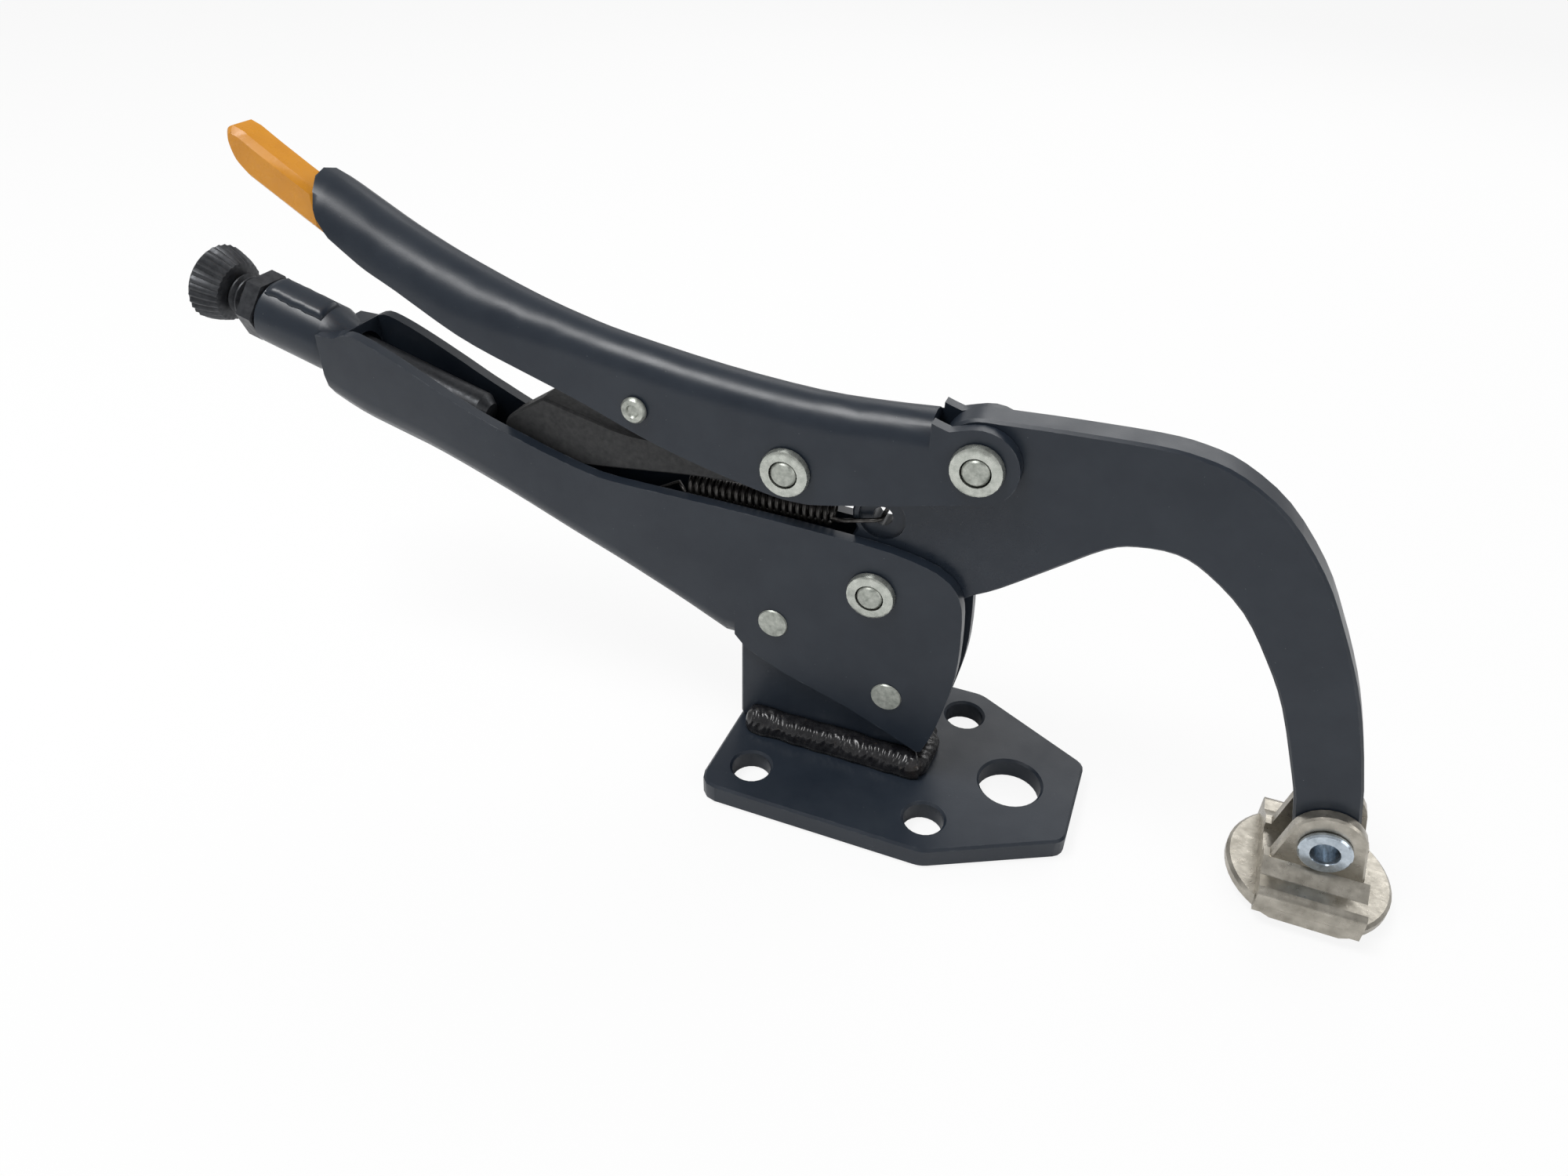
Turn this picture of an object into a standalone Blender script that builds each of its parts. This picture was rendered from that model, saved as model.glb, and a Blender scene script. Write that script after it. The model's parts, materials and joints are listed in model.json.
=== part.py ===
"""Locking C-clamp on a bolt-down mounting plate.

World frame: the origin is the centre of the four-hole pattern on the underside of the base plate,
+X points towards the swivel pad, +Z is up and the near side of the clamp faces -Y.
"""
import math

import bmesh
import bpy
from mathutils import Matrix, Vector

MM = 0.001

# ---- fits ---------------------------------------------------------------------------------
GAP = 0.3 * MM                    # clearance between any two touching pieces
HEAD_PROUD = 0.35 * MM            # how far a flush rivet stands out of its flange

# ---- base plate ---------------------------------------------------------------------------
PLATE_T = 5.0 * MM
PLATE_REAR = 28.3 * MM            # origin to the rear edge
PLATE_FRONT = 47.8 * MM           # origin to the front edge
PLATE_WIDTH = 52.0 * MM
PLATE_SHOULDER = 26.2 * MM        # length of the tapered nose
PLATE_NOSE_WIDTH = 24.0 * MM
PLATE_CORNER = 4.0 * MM
BOLT_SPACING_X = 38.8 * MM
BOLT_SPACING_Y = 34.3 * MM
BOLT_HOLE_D = 8.5 * MM
EYE_HOLE_D = 13.3 * MM            # large hole in the nose
EYE_HOLE_X = 33.8 * MM

# ---- sheet and plate thicknesses ----------------------------------------------------------
BLADE_T = 6.0 * MM                # jaw, tongue and toggle link
SHEET_T = 2.4 * MM                # pressed handle and lever
EDGE_BREAK = 0.5 * MM

# ---- handle and jaw layout ----------------------------------------------------------------
HANDLE_LENGTH = 142.0 * MM        # jaw pivot to the end of the handle tube
JAW_REACH = 93.1 * MM             # jaw pivot to pad pivot, along X
JAW_TOP_RISE = 41.6 * MM          # jaw pivot to the top of the jaw
JAW_ARM_WIDTH = 11.9 * MM
LEVER_PIVOT_DX = 17.2 * MM        # lever pivot on the jaw, from the jaw pivot
LEVER_PIVOT_DZ = 32.1 * MM
SPRING_HOLE_DZ = 16.0 * MM        # spring hole in the jaw, above the jaw pivot
SPRING_HOLE_D = 4.0 * MM
SPRING_RECESS_D = 9.4 * MM
SPRING_RECESS_T = 0.8 * MM
PAD_PIVOT_Z = 16.3 * MM
NOSE_GAP = 6.0 * MM               # handle nose above the plate
JAW_PIVOT_X = 1.1 * MM
JAW_TAIL_R = 9.4 * MM             # round end of the jaw about its own pivot
JAW_LUG_R = 8.3 * MM              # round corner of the jaw about the lever's pivot
SPRING_LUG_R = 6.0 * MM           # metal round the spring hole

# ---- pins ---------------------------------------------------------------------------------
PIN_D = 5.2 * MM                  # the three big pivots
WASHER_D = 10.0 * MM
WASHER_T = 1.5 * MM
RIVET_D = 6.6 * MM                # flush rivets through the tongue
RIVET_SHANK_D = 5.0 * MM
RELEASE_PIN_D = 3.6 * MM
RELEASE_HEAD_D = 5.4 * MM
RELEASE_HEAD_T = 1.0 * MM
EYELET_D = 7.6 * MM
EYELET_FLANGE_D = 9.8 * MM
EYELET_BORE_D = 4.8 * MM
EYELET_FLANGE_T = 0.9 * MM

# ---- adjusting screw ----------------------------------------------------------------------
SCREW_TILT = math.radians(15.2)
SCREW_D = 9.4 * MM
THREAD_DEPTH = 0.7 * MM
THREAD_PITCH = 1.5 * MM
TUBE_D = 14.6 * MM
TUBE_LENGTH = 15.5 * MM
CONTACT_GAP = 5.5 * MM            # open pivot between screw tip and toggle link
NUT_FLATS = 13.0 * MM
NUT_T = 4.0 * MM
THREAD_SHOWN = 4.8 * MM           # thread between the lock nut and the knob
KNOB_D = 17.0 * MM
KNOB_FRONT_D = 13.4 * MM
KNOB_LENGTH = 6.6 * MM
KNURL_COUNT = 30
KNURL_DEPTH = 0.45 * MM

# ---- lever --------------------------------------------------------------------------------
GRIP_WIDTH = 16.0 * MM            # lever at the hand end
TIP_WIDTH = 7.4 * MM              # vinyl-dipped end of the release lever
RELEASE_T = 4.8 * MM
LEVER_END_R = 7.5 * MM            # round front end of the lever
RELEASE_BOSS_R = 4.9 * MM         # round front end of the release lever
TOGGLE_R = 6.8 * MM               # round front end of the toggle link

# ---- opening spring -----------------------------------------------------------------------
SPRING_D = 5.2 * MM
SPRING_WIRE_D = 0.9 * MM
SPRING_TURNS = 22
SPRING_LENGTH = 32.0 * MM

# ---- swivel pad ---------------------------------------------------------------------------
PAD_D = 31.2 * MM
PAD_BOTTOM = 2.6 * MM
PAD_RIM_T = 2.6 * MM
PAD_FOOT_LENGTH = 19.4 * MM
PAD_FOOT_WIDTH = 27.2 * MM
PAD_FOOT_T = 6.4 * MM
EAR_T = 2.4 * MM
EAR_TOP_R = 7.0 * MM
EAR_RISE = 1.2 * MM               # ear's round top above the pad pivot

# ---- weld ---------------------------------------------------------------------------------
WELD_LEG = 5.6 * MM
WELD_RIPPLES = 20

# ---- worked-out places --------------------------------------------------------------------
HANDLE_DROP = 0.272 * HANDLE_LENGTH            # jaw pivot to the lowest point of the handle
JAW_PIVOT = Vector((JAW_PIVOT_X, 0.0, PLATE_T + NOSE_GAP + HANDLE_DROP))
LEVER_PIVOT = JAW_PIVOT + Vector((LEVER_PIVOT_DX, 0.0, LEVER_PIVOT_DZ))
PAD_PIVOT = Vector((JAW_PIVOT.x + JAW_REACH, 0.0, PAD_PIVOT_Z))
SPRING_HOLE = JAW_PIVOT + Vector((0.0, 0.0, SPRING_HOLE_DZ))
HALF_IN = BLADE_T / 2 + GAP                    # inner face of a flange beside a blade
HALF_OUT = HALF_IN + SHEET_T                   # outer face of that flange
PLATE_TOP = PLATE_T + GAP
CHANNEL_WIDTH = SCREW_D + 2 * GAP + 2 * SHEET_T  # fixed handle at the hand end, round the screw


def on_handle(x, z):
    """Point at x and z percent of the handle length from the jaw pivot."""
    return Vector((JAW_PIVOT.x + x / 100 * HANDLE_LENGTH, 0.0, JAW_PIVOT.z + z / 100 * HANDLE_LENGTH))


TUBE_END = on_handle(-100.0, 22.7)
TOGGLE_PIVOT = on_handle(-13.2, 16.4)
RELEASE_PIVOT = on_handle(-35.5, 20.9)
RIVET_REAR = on_handle(-14.6, -9.6)
RIVET_FRONT = on_handle(3.5, -17.7)
SCREW_OUT = Vector((-math.cos(SCREW_TILT), 0.0, math.sin(SCREW_TILT)))
CONTACT = TUBE_END - SCREW_OUT * 0.427 * HANDLE_LENGTH
TONGUE_REAR = -PLATE_REAR + GAP
TONGUE_FRONT = RIVET_FRONT.x + RIVET_D
WEB_END = TONGUE_REAR - GAP
SPRING_TAB = on_handle(-43.0, 2.6)


# ---- outlines, as lists of (x, z) ---------------------------------------------------------
def arc(centre, radius, start, end, steps):
    """Points on an arc about a Vector centre in the XZ plane, from start to end degrees."""
    points = []
    for i in range(steps + 1):
        angle = math.radians(start + (end - start) * i / steps)
        points.append((centre.x + radius * math.cos(angle), centre.z + radius * math.sin(angle)))
    return points


def smooth(points, steps):
    """Catmull-Rom curve through the points, with steps pieces to each span."""
    padded = [points[0]] + list(points) + [points[-1]]
    curve = []
    for i in range(1, len(padded) - 2):
        before, a, b, after = padded[i - 1:i + 3]
        for k in range(steps):
            t = k / steps
            curve.append(tuple(
                0.5 * (2 * p1 + (p2 - p0) * t + (2 * p0 - 5 * p1 + 4 * p2 - p3) * t ** 2
                       + (3 * p1 - p0 - 3 * p2 + p3) * t ** 3)
                for p0, p1, p2, p3 in zip(before, a, b, after)))
    curve.append(tuple(points[-1]))
    return curve


def handle_curve(percents, steps):
    """Smooth curve through points given in percent of the handle length."""
    return smooth([(on_handle(x, z).x, on_handle(x, z).z) for x, z in percents], steps)


def rounded(corners, steps=3):
    """Polygon with each (x, y, radius) corner replaced by an arc that touches both sides."""
    points = []
    count = len(corners)
    for i, (x, y, radius) in enumerate(corners):
        here = Vector((x, y))
        back = (Vector(corners[i - 1][:2]) - here).normalized()
        ahead = (Vector(corners[(i + 1) % count][:2]) - here).normalized()
        half = back.angle(ahead) / 2
        centre = here + (back + ahead).normalized() * radius / math.sin(half)
        start = here + back * radius / math.tan(half) - centre
        end = here + ahead * radius / math.tan(half) - centre
        turn = start.angle_signed(end)
        for k in range(steps + 1):
            spoke = start.copy()
            spoke.rotate(Matrix.Rotation(-turn * k / steps, 2))
            points.append(tuple(centre + spoke))
    return points


def circle(x, y, diameter, steps=24):
    """Closed ring of points about x and y."""
    return [(x + diameter / 2 * math.cos(2 * math.pi * i / steps),
             y + diameter / 2 * math.sin(2 * math.pi * i / steps)) for i in range(steps)]


def hole(centre, diameter, steps=24):
    """Ring of points about a Vector centre in the XZ plane."""
    return circle(centre.x, centre.z, diameter, steps)


# ---- scene and materials ------------------------------------------------------------------
for old in list(bpy.data.objects):
    bpy.data.objects.remove(old, do_unlink=True)
PARTS = bpy.data.collections.new("locking_c_clamp")
CUTTERS = bpy.data.collections.new("cutters")
bpy.context.scene.collection.children.link(PARTS)
bpy.context.scene.collection.children.link(CUTTERS)

FINISHES = {
    "black_coat": ((0.020, 0.024, 0.031), 0.42, 0.0),
    "blackened_steel": ((0.030, 0.032, 0.036), 0.48, 0.6),
    "brown_steel": ((0.035, 0.030, 0.027), 0.70, 0.4),
    "weld_metal": ((0.018, 0.018, 0.020), 0.25, 0.3),
    "zinc": ((0.48, 0.51, 0.47), 0.38, 0.8),
    "nickel": ((0.46, 0.44, 0.40), 0.30, 0.9),
    "spring_steel": ((0.060, 0.058, 0.056), 0.35, 0.9),
    "yellow_vinyl": ((0.75, 0.33, 0.02), 0.28, 0.0),
}


def material(part, finish):
    """Material of one part, in one of the named finishes."""
    colour, roughness, metallic = FINISHES[finish]
    made = bpy.data.materials.new(part + "_" + finish)
    made.use_nodes = True
    shader = made.node_tree.nodes["Principled BSDF"]
    shader.inputs["Base Color"].default_value = (*colour, 1.0)
    shader.inputs["Roughness"].default_value = roughness
    shader.inputs["Metallic"].default_value = metallic
    return made


def add_object(name, mesh, finish, origin):
    """Object of a mesh made in world coordinates, with its origin moved to a given point."""
    mesh.transform(Matrix.Translation(-origin))
    made = bpy.data.objects.new(name, mesh)
    made.location = origin
    PARTS.objects.link(made)
    mesh.materials.clear()
    mesh.materials.append(material(name, finish))
    mesh.shade_smooth()
    mesh.set_sharp_from_angle(angle=math.radians(32))
    return made


def as_cutter(made):
    """Take an object out of the parts and keep it as a hidden cutter."""
    PARTS.objects.unlink(made)
    CUTTERS.objects.link(made)
    made.hide_render = True
    made.display_type = 'WIRE'
    return made


def boolean(target, tool, operation):
    """Boolean modifier on the target, with the tool kept as a cutter."""
    if tool.name not in CUTTERS.objects:
        as_cutter(tool)
    modifier = target.modifiers.new(operation.lower() + "_" + tool.name, 'BOOLEAN')
    modifier.operation = operation
    modifier.object = tool
    modifier.solver = 'EXACT'
    return target


# ---- shape makers -------------------------------------------------------------------------
def blade(name, loops, thickness, finish, origin, edge=EDGE_BREAK, middle=0.0, upright=True):
    """Flat plate with broken edges: loops of points, the first the outline and the rest holes.

    An upright plate lies in the XZ plane with its middle at y = middle; the other kind lies in
    the XY plane with its middle at z = middle.
    """
    curve = bpy.data.curves.new(name, 'CURVE')
    curve.dimensions = '2D'
    curve.fill_mode = 'BOTH'
    curve.extrude = thickness / 2 - edge
    curve.bevel_depth = edge
    curve.offset = -edge
    curve.bevel_resolution = 0
    for loop in loops:
        spline = curve.splines.new('POLY')
        spline.points.add(len(loop) - 1)
        for point, (x, y) in zip(spline.points, loop):
            point.co = (x, y, 0.0, 1.0)
        spline.use_cyclic_u = True
    drawn = bpy.data.objects.new(name + "_curve", curve)
    PARTS.objects.link(drawn)
    if upright:
        drawn.matrix_world = Matrix.Translation((0.0, middle, 0.0)) @ Matrix.Rotation(math.pi / 2, 4, 'X')
    else:
        drawn.matrix_world = Matrix.Translation((0.0, 0.0, middle))
    bpy.context.view_layer.update()
    ready = drawn.evaluated_get(bpy.context.evaluated_depsgraph_get())
    mesh = bpy.data.meshes.new_from_object(ready)
    mesh.transform(drawn.matrix_world)
    bpy.data.objects.remove(drawn, do_unlink=True)
    shape = bmesh.new()
    shape.from_mesh(mesh)
    bmesh.ops.remove_doubles(shape, verts=shape.verts, dist=0.00001)
    bmesh.ops.recalc_face_normals(shape, faces=shape.faces)
    shape.to_mesh(mesh)
    shape.free()
    return add_object(name, mesh, finish, origin)


def loft(name, rings, finish, origin):
    """Closed solid through rings of points, all with the same count, with flat ends."""
    shape = bmesh.new()
    rows = [[shape.verts.new(point) for point in ring] for ring in rings]
    count = len(rings[0])
    for row, following in zip(rows, rows[1:]):
        for i in range(count):
            j = (i + 1) % count
            shape.faces.new((row[i], row[j], following[j], following[i]))
    shape.faces.new(rows[0])
    shape.faces.new(rows[-1])
    bmesh.ops.recalc_face_normals(shape, faces=shape.faces)
    mesh = bpy.data.meshes.new(name)
    shape.to_mesh(mesh)
    shape.free()
    return add_object(name, mesh, finish, origin)


def turned(name, profile, finish, origin, axis, steps=24):
    """Solid turned about an axis through the origin.

    The profile runs from the top of the axis down its outer side, as (radius, height) pairs.
    A profile that starts and ends on the axis is a solid; one that returns up its bore is a ring.
    """
    shape = bmesh.new()
    verts = [shape.verts.new((radius, 0.0, height)) for radius, height in profile]
    ring = profile[0][0] > 0.0
    for a, b in zip(verts, verts[1:] + (verts[:1] if ring else [])):
        shape.edges.new((a, b))
    mesh = bpy.data.meshes.new(name)
    shape.to_mesh(mesh)
    shape.free()
    made = bpy.data.objects.new(name, mesh)
    made.location = origin
    made.rotation_mode = 'QUATERNION'
    made.rotation_quaternion = Vector((0.0, 0.0, 1.0)).rotation_difference(axis)
    PARTS.objects.link(made)
    mesh.materials.append(material(name, finish))
    screw = made.modifiers.new("turn", 'SCREW')
    screw.steps = steps
    screw.render_steps = steps
    screw.use_merge_vertices = True
    screw.merge_threshold = 0.00001
    screw.use_smooth_shade = True
    return made


def rod(name, centre, diameter, length, finish="blackened_steel", axis=Vector((0.0, 1.0, 0.0)), steps=24):
    """Plain turned cylinder centred on a point."""
    r, h = diameter / 2, length / 2
    return turned(name, [(0.0, h), (r, h), (r, -h), (0.0, -h)], finish, centre, axis, steps)


# ---- base: plate, tongue, welds -----------------------------------------------------------
def make_base_plate():
    """Plate with a tapered nose, four bolt holes and the large nose hole."""
    half, nose = PLATE_WIDTH / 2, PLATE_NOSE_WIDTH / 2
    shoulder = PLATE_FRONT - PLATE_SHOULDER
    small = PLATE_CORNER
    outline = rounded([(-PLATE_REAR, -half, small), (shoulder, -half, small * 1.5),
                       (PLATE_FRONT, -nose, small * 0.8), (PLATE_FRONT, nose, small * 0.8),
                       (shoulder, half, small * 1.5), (-PLATE_REAR, half, small)])
    loops = [outline, circle(EYE_HOLE_X, 0.0, EYE_HOLE_D, 32)]
    for side_x in (-1, 1):
        for side_y in (-1, 1):
            loops.append(circle(side_x * BOLT_SPACING_X / 2, side_y * BOLT_SPACING_Y / 2, BOLT_HOLE_D))
    return blade("base_plate", loops, PLATE_T, "black_coat", Vector(), middle=PLATE_T / 2, upright=False)


def make_tongue():
    """Upright blade that stands on the plate between the handle's flanges."""
    front = TONGUE_FRONT
    tail_clear = JAW_PIVOT.z - JAW_TAIL_R - 3 * GAP
    top_front = min(RIVET_FRONT.z + RIVET_D, tail_clear)
    corners = [(TONGUE_REAR, PLATE_TOP, 1.0 * MM), (front, PLATE_TOP, 1.0 * MM),
               (front, top_front, 4.0 * MM), (JAW_PIVOT.x - JAW_TAIL_R * 0.6, tail_clear, 3.0 * MM),
               (RIVET_REAR.x + RIVET_D * 0.9, RIVET_REAR.z + RIVET_D, 3.0 * MM),
               (TONGUE_REAR, RIVET_REAR.z + RIVET_D * 0.6, 3.0 * MM)]
    loops = [rounded(corners), hole(RIVET_REAR, RIVET_SHANK_D + 2 * GAP),
             hole(RIVET_FRONT, RIVET_SHANK_D + 2 * GAP)]
    return blade("upright_tongue", loops, BLADE_T, "black_coat", JAW_PIVOT)


def weld_ring(along, side, leg):
    """Cross-section of a fillet bead in the corner between the tongue and the plate."""
    foot = side * (BLADE_T / 2 + GAP)
    low = PLATE_TOP
    ring = [Vector((along, foot, low)), Vector((along, foot + side * leg, low))]
    for i in range(1, 5):
        angle = math.radians(90 * i / 5)
        bulge = 0.78 + 0.06 * math.sin(2 * angle)
        ring.append(Vector((along, foot + side * leg * bulge * math.cos(angle) ** 0.8,
                            low + leg * bulge * math.sin(angle) ** 0.8)))
    ring.append(Vector((along, foot, low + leg)))
    return ring


def make_weld(name, side):
    """Rippled fillet bead along one side of the tongue's foot."""
    start, end = TONGUE_REAR + 1.5 * MM, TONGUE_FRONT + 2.0 * MM
    rings = []
    steps = WELD_RIPPLES * 2
    for i in range(steps + 1):
        t = i / steps
        ripple = 1.0 + 0.05 * math.cos(2 * math.pi * WELD_RIPPLES * t)
        taper = min(1.0, 0.45 + 9 * t, 0.45 + 9 * (1 - t))
        rings.append(weld_ring(start + (end - start) * t, side, WELD_LEG * ripple * taper))
    return loft(name, rings, "weld_metal", Vector((start, 0.0, PLATE_T)))


def make_weld_end():
    """Bead that wraps the front end of the tongue."""
    centre = Vector((TONGUE_FRONT + GAP, 0.0, PLATE_TOP))
    rings = []
    for i in range(9):
        y = (BLADE_T / 2) * (i / 4 - 1)
        reach = WELD_LEG * (0.72 + 0.06 * math.cos(math.pi * i / 4))
        ring = [centre + Vector((0.0, y, 0.0))]
        for k in range(6):
            angle = math.radians(90 * k / 5)
            ring.append(centre + Vector((reach * math.cos(angle), y, reach * math.sin(angle))))
        rings.append(ring)
    return loft("weld_front", rings, "weld_metal", centre)


def make_flush_rivet(name, place):
    """Rivet through both flanges and the tongue, with thin flush heads."""
    head, shank = RIVET_D / 2, RIVET_SHANK_D / 2
    face = HALF_OUT + GAP / 3
    end = face + HEAD_PROUD
    rim = head - HEAD_PROUD / 2
    profile = [(0.0, end), (rim, end), (head, face), (shank, face),
               (shank, -face), (head, -face), (rim, -end), (0.0, -end)]
    return turned(name, profile, "zinc", place, Vector((0.0, 1.0, 0.0)))


# ---- fixed handle -------------------------------------------------------------------------
FIXED_BOTTOM = [(-99.9, 17.2), (-93.4, 15.2), (-90.1, 12.1), (-83.5, 8.9), (-76.8, 7.0), (-69.2, 4.8),
                (-58.5, 0.8), (-48.2, -3.8), (-37.8, -8.1), (-28.8, -12.1), (-20.4, -16.2)]
FIXED_TOP = [(-84.8, 22.6), (-82.3, 23.6), (-79.0, 22.8), (-74.6, 21.0), (-69.0, 18.4), (-64.7, 16.3),
             (-59.7, 14.2), (-54.5, 12.3), (-49.9, 10.6), (-44.8, 9.1), (-39.8, 8.4), (-24.9, 8.3),
             (-13.1, 8.1), (-0.7, 7.6), (4.9, 6.9), (8.6, 5.9)]
FIXED_FRONT = [(10.6, 4.7), (12.0, 2.9), (12.9, -0.5), (13.2, -8.4), (12.6, -14.4), (11.1, -22.0),
               (9.6, -26.6)]
FIXED_NOSE = [(8.9, -26.9), (-2.3, -21.9), (-12.6, -18.6), (-19.0, -15.6)]


def half_width(x, full):
    """Outer half width of a pressed handle at x: slim at the blades, full width at the hand end."""
    start, end = on_handle(-42.0, 0.0).x, on_handle(-64.0, 0.0).x
    t = min(1.0, max(0.0, (x - start) / (end - start)))
    return HALF_OUT + (full / 2 - HALF_OUT) * t * t * (3 - 2 * t)


def channel_ring(x, z_round, z_flat, half, upside, steps=8):
    """Section at x: a half-round of radius half that reaches z_round, closed square at z_flat."""
    centre = z_round - upside * half
    ring = []
    for i in range(steps + 1):
        angle = math.pi * i / steps
        ring.append(Vector((x, -half * math.cos(angle), centre + upside * half * math.sin(angle))))
    ring.append(Vector((x, half, z_flat)))
    ring.append(Vector((x, -half, z_flat)))
    return ring


def tube_ring(distance, radius, steps=36):
    """Circle about the screw axis, at a distance forward of the tube's end."""
    centre = TUBE_END - SCREW_OUT * distance
    up = SCREW_OUT.cross(Vector((0.0, 1.0, 0.0)))
    ring = []
    for i in range(steps):
        angle = 2 * math.pi * i / steps
        ring.append(centre + up * radius * math.cos(angle)
                    + Vector((0.0, radius * math.sin(angle), 0.0)))
    return ring


def fixed_channel(inset, stations):
    """Sections of the channel's outer skin, or of its inner skin with an inset, closed far above."""
    roof = JAW_PIVOT.z + HANDLE_LENGTH * 0.5 + inset
    return [channel_ring(x, z + inset, roof, half_width(x, CHANNEL_WIDTH) - inset, -1) for x, z in stations]


def make_fixed_handle():
    """Pressed channel that ends in a closed tube, with two flanges over the tongue."""
    bottom = handle_curve(FIXED_BOTTOM, 3)
    tube_front = (TUBE_END - SCREW_OUT * TUBE_LENGTH).x
    low = JAW_PIVOT.z - HANDLE_LENGTH * 0.5
    outer = [p for p in bottom if tube_front < p[0] < WEB_END - 1.0 * MM]
    last = outer[-1]
    reach = on_handle(15.0, 0.0).x
    outer_rings = fixed_channel(0.0, outer + [(WEB_END - 0.1 * MM, last[1]), (WEB_END, low), (reach, low)])
    body = loft("fixed_handle", outer_rings, "black_coat", JAW_PIVOT)
    side = (handle_curve(FIXED_TOP, 3) + handle_curve(FIXED_FRONT, 3) + handle_curve(FIXED_NOSE, 2)
            + [(WEB_END - 0.3 * MM, last[1] + SHEET_T), (WEB_END - 0.3 * MM, low),
               (tube_front - 9 * MM, low), (tube_front - 9 * MM, on_handle(*FIXED_TOP[0]).z)])
    outline = blade("fixed_side_profile", [side], 60 * MM, "black_coat", JAW_PIVOT, edge=0.0)
    boolean(body, outline, 'INTERSECT')
    tube = loft("fixed_tube", [tube_ring(0.0, TUBE_D / 2 - 0.6 * MM), tube_ring(0.6 * MM, TUBE_D / 2),
                               tube_ring(TUBE_LENGTH, TUBE_D / 2),
                               tube_ring(TUBE_LENGTH + 6 * MM, TUBE_D / 2 - 2 * MM)],
                "black_coat", TUBE_END)
    boolean(body, tube, 'UNION')
    inner_rings = fixed_channel(SHEET_T, outer[2:] + [(WEB_END - 0.3 * MM, last[1]),
                                                      (WEB_END - 0.2 * MM, low - 5 * MM),
                                                      (reach + 10 * MM, low - 5 * MM)])
    boolean(body, loft("fixed_hollow", inner_rings, "black_coat", JAW_PIVOT), 'DIFFERENCE')
    bore_length = TUBE_LENGTH + 18 * MM
    bore = rod("fixed_bore", TUBE_END - SCREW_OUT * (bore_length / 2 - 4 * MM), SCREW_D + 2 * GAP,
               bore_length, axis=SCREW_OUT, steps=28)
    boolean(body, bore, 'DIFFERENCE')
    boolean(body, rod("fixed_pivot_hole", JAW_PIVOT, PIN_D + 2 * GAP, 60 * MM), 'DIFFERENCE')
    for label, place in (("rear", RIVET_REAR), ("front", RIVET_FRONT)):
        drill = rod("fixed_rivet_hole_" + label, place, RIVET_SHANK_D + 2 * GAP, 60 * MM)
        boolean(body, drill, 'DIFFERENCE')
    return body


# ---- jaw ----------------------------------------------------------------------------------
JAW_OUTER = [(24.5, 98.8), (33.5, 99.4), (49.0, 100.0), (57.0, 99.2), (64.5, 96.4), (73.6, 89.0),
             (82.3, 76.6), (88.2, 64.3), (94.5, 48.6), (98.9, 34.5), (102.8, 19.0)]
JAW_INNER = [(91.5, 10.5), (89.6, 17.5), (83.4, 37.5), (77.8, 50.2), (71.2, 61.9), (63.2, 70.1),
             (57.0, 73.5), (49.8, 73.2), (44.4, 70.7), (36.4, 63.0), (25.9, 52.7), (20.9, 48.8)]


def on_jaw(x, z):
    """Point at x percent of the reach from the jaw pivot, z percent of the rise over the pad pivot."""
    rise = JAW_PIVOT.z + JAW_TOP_RISE - PAD_PIVOT.z
    return (JAW_PIVOT.x + x / 100 * JAW_REACH, PAD_PIVOT.z + z / 100 * rise)


def make_jaw():
    """C-shaped blade with lugs for both pivots and the spring, and a round end at the pad."""
    lean = math.degrees(math.atan2(0.29, 0.96))
    outline = arc(LEVER_PIVOT, JAW_LUG_R, 200, 92, 10)
    outline += smooth([on_jaw(x, z) for x, z in [(20.5, 98.5)] + JAW_OUTER], 3)
    outline += arc(PAD_PIVOT, JAW_ARM_WIDTH / 2, lean, lean - 180, 12)
    outline += smooth([on_jaw(x, z) for x, z in JAW_INNER], 3)
    outline += arc(JAW_PIVOT, JAW_TAIL_R, -48, -190, 14)
    outline += arc(SPRING_HOLE, SPRING_LUG_R, 215, 140, 6)
    holes = [hole(JAW_PIVOT, PIN_D + 2 * GAP), hole(LEVER_PIVOT, PIN_D + 2 * GAP),
             hole(SPRING_HOLE, SPRING_HOLE_D, 24), hole(PAD_PIVOT, EYELET_D + 2 * GAP)]
    jaw = blade("jaw", [outline] + holes, BLADE_T, "black_coat", JAW_PIVOT)
    for side, label in ((-1, "near"), (1, "far")):
        place = SPRING_HOLE + Vector((0.0, side * BLADE_T / 2, 0.0))
        recess = rod("spring_recess_" + label, place, SPRING_RECESS_D, SPRING_RECESS_T * 2)
        boolean(jaw, recess, 'DIFFERENCE')
    return jaw


# ---- pivots -------------------------------------------------------------------------------
def make_pivot(name, place):
    """Peened pin and its two collars."""
    face = HALF_OUT + GAP
    top = face + WASHER_T
    pin, edge = PIN_D / 2, 0.35 * MM
    end = top + 0.1 * MM
    turned(name + "_pin", [(0.0, end), (pin - edge, end), (pin, end - edge), (pin, edge - end),
                           (pin - edge, -end), (0.0, -end)], "zinc", place, Vector((0.0, 1.0, 0.0)))
    bore, rim = pin + GAP, WASHER_D / 2
    profile = [(bore, WASHER_T), (rim - 0.8 * MM, WASHER_T), (rim - 0.2 * MM, WASHER_T - 0.3 * MM),
               (rim, WASHER_T - 0.9 * MM), (rim, 0.0), (bore, 0.0)]
    for side, label in ((-1, "near"), (1, "far")):
        turned(name + "_collar_" + label, profile, "zinc", place + Vector((0.0, side * face, 0.0)),
               Vector((0.0, side, 0.0)))


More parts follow.
